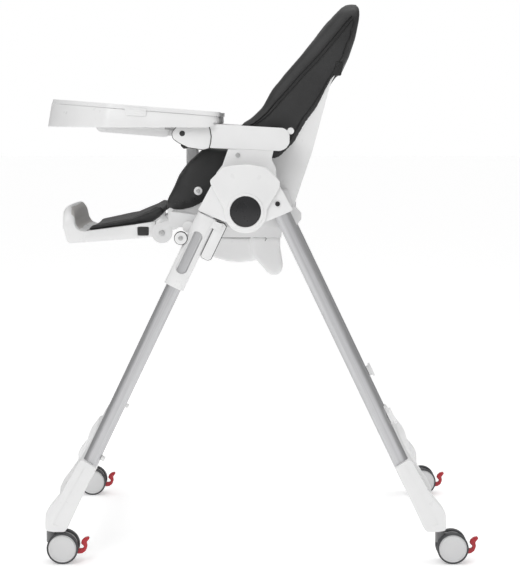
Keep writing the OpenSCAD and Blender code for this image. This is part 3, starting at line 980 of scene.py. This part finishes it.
corners = ["front_left", "front_right", "rear_left", "rear_right"]
for corner in corners:
    words = corner.split("_")
    stem = words[0] + words[1].title()
    soften(corner + "_fork", stem + "Fork", 1.6, 3, corner + "_castor", castorGrey, "castor_grey")
    makePedal(corner, stem)
    soften(corner + "_discs", stem + "Discs", 0.6, 2, corner + "_wheels", discGrey, "disc_grey")
    soften(corner + "_tyres", stem + "Tyres", 1.3, 3, corner + "_wheels", treadRubber, "tread")
    paint(corner + "_axle", turnedSteel)
print("castors made")


# Screws

screws = {
    "cross": 0.62, "slot": 0.85, "deep": 1.1,
    "heads": [(-32.4, 713.5, 4.2, 228, 231.4), (-130, 572, 4.2, 260, 263.4),
              (-102.3, 650.2, 3.6, 193, 197.6), (-168, 574.4, 4.6, 160, 168)],
    "snap": (-102.3, 650.2), "snapRadius": 7.4, "bolt": (-128, 750.7), "boltRadius": 4.8,
    "grip": [(-131, 737), (-118, 731), (-119, 725), (-126, 724), (-131, 729)],
    "footPivot": (-168, 574.4), "backPivot": (45, 632), "pinRadius": 5,
}


# A flat head with a cross recess, its outer face at high
def screwHead(y, z, radius, low, high):
    head = rod("head", (low, y, z), (high, y, z), radius, 0.5)
    arm, wide, deep = radius * screws["cross"], screws["slot"] / 2, screws["deep"]
    for size in ((arm, wide), (wide, arm)):
        across, up = size
        cut(head, block("cross", (high - deep, y - across, z - up), (high + 1, y + across, z + up)))
    return head


def makeScrews():
    heads = [screwHead(*place) for place in screws["heads"]]
    finishPiece(bothSides(join("coverScrews", heads)), "seat", turnedSteel, "screw",
                "cover_screws", "pivot_screws")
    snap = rod("padSnaps", (188, *screws["snap"]), (196.6, *screws["snap"]), screws["snapRadius"], 1.2)
    finishPiece(bothSides(snap), "seat", whitePlastic, "white_plastic")
    bolt = rod("bolt", (226, *screws["bolt"]), (231.4, *screws["bolt"]), screws["boltRadius"], 0.8)
    grip = roundedPlate("grip", screws["grip"], 206, 221, 3, 1)
    finishPiece(bothSides(join("armrestBolts", [bolt, grip])), "seat", blackPlastic, "black_plastic")
    foot, back = screws["footPivot"], screws["backPivot"]
    pins = rod("pivotPins", (141, *foot), (166, *foot), screws["pinRadius"], 0.3)
    caps = rod("cap", (166, *back), (185.5, *back), screws["pinRadius"], 0.5)
    finishPiece(bothSides(join("pivotPins", [pins, caps])), "seat", turnedSteel, "steel")


makeScrews()
paint("hub_pins", turnedSteel)
paint("rear_bolts", blackPlastic)


# Dark plates that paint the shade in the gaps, seen as a fine line round the height lever and the collar's
# lug
paintedGapShade = {
    "lever": [(-37, 74), (-33, 78), (-21, 78), (-19, 74), (-19, 12), (-31, 9), (-37, 12)],
    "grow": 1.2, "inner": 242, "outer": 248, "lug": (-130, 572), "lugRadius": 11.8,
}


def makePaintedGapShades():
    for side, sign in (("left", 1), ("right", -1)):
        lever = [onLeg(-1, *spot) for spot in paintedGapShade["lever"]]
        shade = plate("leverPaintedShade" + side.title(), grown(roundCorners(lever, 3), paintedGapShade["grow"]),
                      paintedGapShade["inner"], paintedGapShade["outer"])
        if sign < 0:
            twin = mirrored(shade)
            bpy.data.objects.remove(shade)
            shade = twin
        finishPiece(shade, "height_lever_" + side, blackPlastic, "black_plastic")
    lug = rod("lugPaintedShade", (250, *paintedGapShade["lug"]), (258, *paintedGapShade["lug"]), paintedGapShade["lugRadius"], 0.4)
    finishPiece(bothSides(lug), "seat", blackPlastic, "black_plastic")


makePaintedGapShades()
print("screws and paintedGapShades made")


# Soft goods

padding = {"voxel": 5.5, "pressure": 4.0, "frames": 20}


# Remeshes a closed pad, swells it by cloth simulation and limits how far it moves
def inflate(piece, cap, voxel=None):
    pick(piece)
    addModifier(piece, "REMESH", mode="VOXEL", voxel_size=(voxel or padding["voxel"]) * mm)
    applyAll(piece)
    rest = [v.co.copy() for v in piece.data.vertices]
    cloth = addModifier(piece, "CLOTH")
    cloth.settings.use_pressure = True
    cloth.settings.uniform_pressure_force = padding["pressure"]
    cloth.settings.effector_weights.gravity = 0
    cloth.settings.quality = 4
    cloth.collision_settings.use_collision = False
    scene = bpy.context.scene
    for number in range(1, padding["frames"] + 1):
        scene.frame_set(number)
    shape = piece.evaluated_get(bpy.context.evaluated_depsgraph_get())
    moved = [v.co.copy() for v in shape.data.vertices]
    piece.modifiers.remove(cloth)
    for vert, start, end in zip(piece.data.vertices, rest, moved):
        step = end - start
        if step.length > cap * mm:
            step *= cap * mm / step.length
        vert.co = start + step
    scene.frame_set(1)
    return piece


# Joins rings of points into a closed skin
def skin(name, rings):
    mesh = bmesh.new()
    rows = [[mesh.verts.new(Vector(p) * mm) for p in ring] for ring in rings]
    count = len(rings[0])
    for low, high in zip(rows[:-1], rows[1:]):
        for k in range(count):
            mesh.faces.new((low[k], low[(k + 1) % count], high[(k + 1) % count], high[k]))
    mesh.faces.new(rows[0][::-1])
    mesh.faces.new(rows[-1])
    data = bpy.data.meshes.new(name)
    mesh.to_mesh(data)
    mesh.free()
    piece = bpy.data.objects.new(name, data)
    bpy.context.collection.objects.link(piece)
    tidyNormals(piece)
    return piece


def between(table, z):
    for (z0, *first), (z1, *second) in zip(table[:-1], table[1:]):
        if z0 <= z <= z1:
            t = (z - z0) / (z1 - z0)
            return [a + (b - a) * t for a, b in zip(first, second)]
    return list(table[-1][1:]) if z > table[-1][0] else list(table[0][1:])


# Height, wing front, wing rear, middle front, middle rear, outer half, inner half
backPad = {
    "table": [(656, 44, 58, 44, 60, 128, 100), (690, 42, 46, 52, 70, 150, 120),
              (702, 20, 32, 55, 73, 171, 132), (712, 2, 40, 57, 75, 177, 137),
              (735, -23, 64, 63, 83, 178, 141), (766, -27, 84, 71, 92, 178, 141),
              (778, -9, 92, 75, 96, 178, 141), (797, 10, 105, 81, 101, 178, 141),
              (828, 28, 124, 89, 109, 177, 141), (846, 43, 136, 97, 117, 176, 141),
              (854, 49, 141, 101, 146, 176, 141), (884, 75, 158, 114, 160, 176, 139),
              (919, 105, 170, 130, 172, 176, 134), (951, 131, 177, 148, 178, 174, 126),
              (966, 143, 179, 158, 180, 168, 112), (976, 154, 179, 165, 180, 154, 96),
              (981, 163, 175, 169, 177, 130, 80)],
    "rows": 64,
}


def backRing(z):
    front, rear, middle, behind, outer, inner = between(backPad["table"], z)
    depth = rear - front
    side = [(outer - 3, rear), (outer, rear - depth * 0.12), (outer, front + depth * 0.5),
            (outer - 1, front + min(22, depth * 0.3)), (outer - 4, front + 5), (outer - 12, front - 2),
            (max(inner + 9, outer - 24), front - 2), (inner + 5, front + 6),
            (inner, front + (middle - front) * 0.4 + 4), (inner - 4, middle - 5), (inner - 16, middle),
            (inner * 0.5, middle + 1.5), (0, middle + 2)]
    back = [(inner * 0.5, behind), (inner, behind), (outer - 22, (behind + rear) / 2)]
    front = side + [(-x, y) for x, y in side[-2::-1]]
    rear = [(-x, y) for x, y in back[::-1]] + [(0, behind)] + back
    return [(x, y, z) for x, y in front + rear]


def makeBackPad():
    low, high = backPad["table"][0][0], backPad["table"][-1][0]
    rings = [backRing(low + (high - low) * k / backPad["rows"]) for k in range(backPad["rows"] + 1)]
    piece = skin("backPad", rings)
    inflate(piece, 3.5)
    return piece


# Short stitches along a path on a surface
def stitches(name, path, surface, length=4.2, gap=2.4, radius=0.45):
    spots = [surface.find_nearest(Vector(p) * mm) for p in path]
    places = [s[0] for s in spots]
    walk = 0.0
    mesh = bmesh.new()
    for (a, b, spot) in zip(places[:-1], places[1:], spots):
        step = (b - a).length
        along = (b - a).normalized() if step else Vector((0, 0, 1))
        while walk < step:
            centre = a + along * walk + spot[1] * 0.1 * mm
            across = along.cross(spot[1]).normalized()
            frameOf = Matrix((across, spot[1], along)).transposed().to_4x4()
            shape = Matrix.Translation(centre) @ frameOf @ Matrix.Diagonal(
                (radius * mm, radius * mm, length / 2 * mm, 1))
            bmesh.ops.create_uvsphere(mesh, u_segments=6, v_segments=4, radius=1, matrix=shape)
            walk += (length + gap) * mm
        walk -= step
    data = bpy.data.meshes.new(name)
    mesh.to_mesh(data)
    mesh.free()
    piece = bpy.data.objects.new(name, data)
    bpy.context.collection.objects.link(piece)
    return piece


backSeam = {
    "line": [(-20, 757), (-2.6, 773), (15.5, 788), (42.5, 815), (72.5, 848), (102.5, 879),
             (129.3, 910.4), (159, 946), (170, 962)],
    "hemLow": 714, "hemRise": 232,
    "tab": [(134, 851), (148, 851), (152.5, 873), (139, 876)],
}


def backSeamPath(side, back):
    path = []
    spots = backSeam["line"]
    for (y0, z0), (y1, z1) in zip(spots[:-1], spots[1:]):
        for k in range(10):
            t = k / 10
            path.append((side * 190, y0 + (y1 - y0) * t + back * 0.78, z0 + (z1 - z0) * t - back * 0.62))
    return path


def makeBackTrim(pad):
    surface = surfaceOf(pad)
    cords, threads = [], []
    for side in (1, -1):
        cords.append(lay("piping", backSeamPath(side, -3), surface, 1.5))
        cords.append(lay("piping", backSeamPath(side, 4), surface, 1.3))
        threads.append(stitches("thread", backSeamPath(side, 8), surface))
        heights = [backSeam["hemLow"] + backSeam["hemRise"] * k / 60 for k in range(61)]
        hem = [(side * 190, between(backPad["table"], z)[1] - 2, z) for z in heights]
        cords.append(lay("hem", hem, surface, 1.5))
    for side in (1, -1):
        low, high = sorted((side * 160, side * 176.5))
        cords.append(roundedPlate("tab", backSeam["tab"], low, high, 2, 1.2))
    piping = join("backPiping", cords)
    finishPiece(piping, "backrest", pipingLeather, "leatherette")
    thread = join("backStitches", threads)
    finishPiece(thread, "backrest", seamThread, "leatherette", angle=180)


backPadPiece = makeBackPad()
makeBackTrim(backPadPiece)
finishPiece(backPadPiece, "backrest", charcoalLeather, "leatherette", "back_pad", angle=180)
print("back pad made")

seatPad = {
    "roll": [(-93, 725), (-119.5, 700), (-138, 673), (-151.5, 646), (-158, 636), (-160, 621.5),
             (-131, 618), (-110, 621), (-92, 630), (2, 640), (2, 724)],
    "corners": [8, 40, 40, 20, 10, 10, 20, 20, 20, 10, 8],
    "inner": 162, "outer": 190,
    "middle": [(-158, 603), (-162, 622), (-154, 640), (-138, 646), (2, 646), (2, 603)],
    "middleCorners": [6, 10, 10, 20, 6, 6], "half": 172,
    "hem": [(-158, 624), (-145, 622), (-130, 621.5), (-120, 622.5), (-110, 626), (-98, 632)],
}


def makeSeatPad():
    roll = roundedPlate("seatRoll", seatPad["roll"], seatPad["inner"], seatPad["outer"], seatPad["corners"],
                        7, segments=4)
    half = seatPad["half"]
    middle = roundedPlate("seatPad", seatPad["middle"], -half, half, seatPad["middleCorners"], 8)
    piece = weld(middle, mirrored(roll), roll)
    slot = block("slot", (-15, -133, 590), (15, -106, 700))
    cut(piece, slot)
    inflate(piece, 3.0)
    return piece


def seatHemPath(side, up):
    return [(side * 196, y, z + up) for y, z in seatPad["hem"]]


seatPadPiece = makeSeatPad()
seatSurface = surfaceOf(seatPadPiece)
threads = [stitches("thread", seatHemPath(side, up), seatSurface) for side in (1, -1) for up in (5, 9)]
seatThread = join("seatStitches", threads)
finishPiece(seatThread, "seat", seamThread, "leatherette", angle=180)
finishPiece(seatPadPiece, "seat", charcoalLeather, "leatherette", "seat_pad", angle=180)

legPad = {
    "outline": [(-307, 575), (-309, 579.5), (-228, 597), (-192, 611), (-170, 623), (-163, 612),
                (-186, 594)],
    "corners": [2, 2, 40, 20, 6, 8, 10], "half": 134, "front": 106, "sag": 7,
}


def makeLegPad():
    half = legPad["half"]
    piece = roundedPlate("legPad", legPad["outline"], -half, half, legPad["corners"], 3)
    inflate(piece, 3.0, 4.5)
    for vert in piece.data.vertices:
        along = min(1, max(0, (-vert.co.y / mm - 222) / 87))
        vert.co.x *= 1 - along * (1 - legPad["front"] / half)
        middle = 1 - (vert.co.x / mm / half) ** 2
        if vert.co.z / mm > 576 + (vert.co.y / mm + 307) * 0.25:
            vert.co.z -= legPad["sag"] * middle * mm * (0.3 + 0.7 * (1 - along))
    return piece


legPadPiece = makeLegPad()
finishPiece(legPadPiece, "leg_rest", charcoalLeather, "leatherette", "leg_pad", angle=180)
print("pads made")

# Harness

soften("seat_straps", "seatStraps", 0.8, 2, "seat", blackWebbing, "webbing")
soften("shoulder_straps", "shoulderStraps", 0.8, 2, "backrest", blackWebbing, "webbing")
soften("buckle", "buckle", 2.5, 3, "seat", blackPlastic, "black_plastic")
print("harness made")
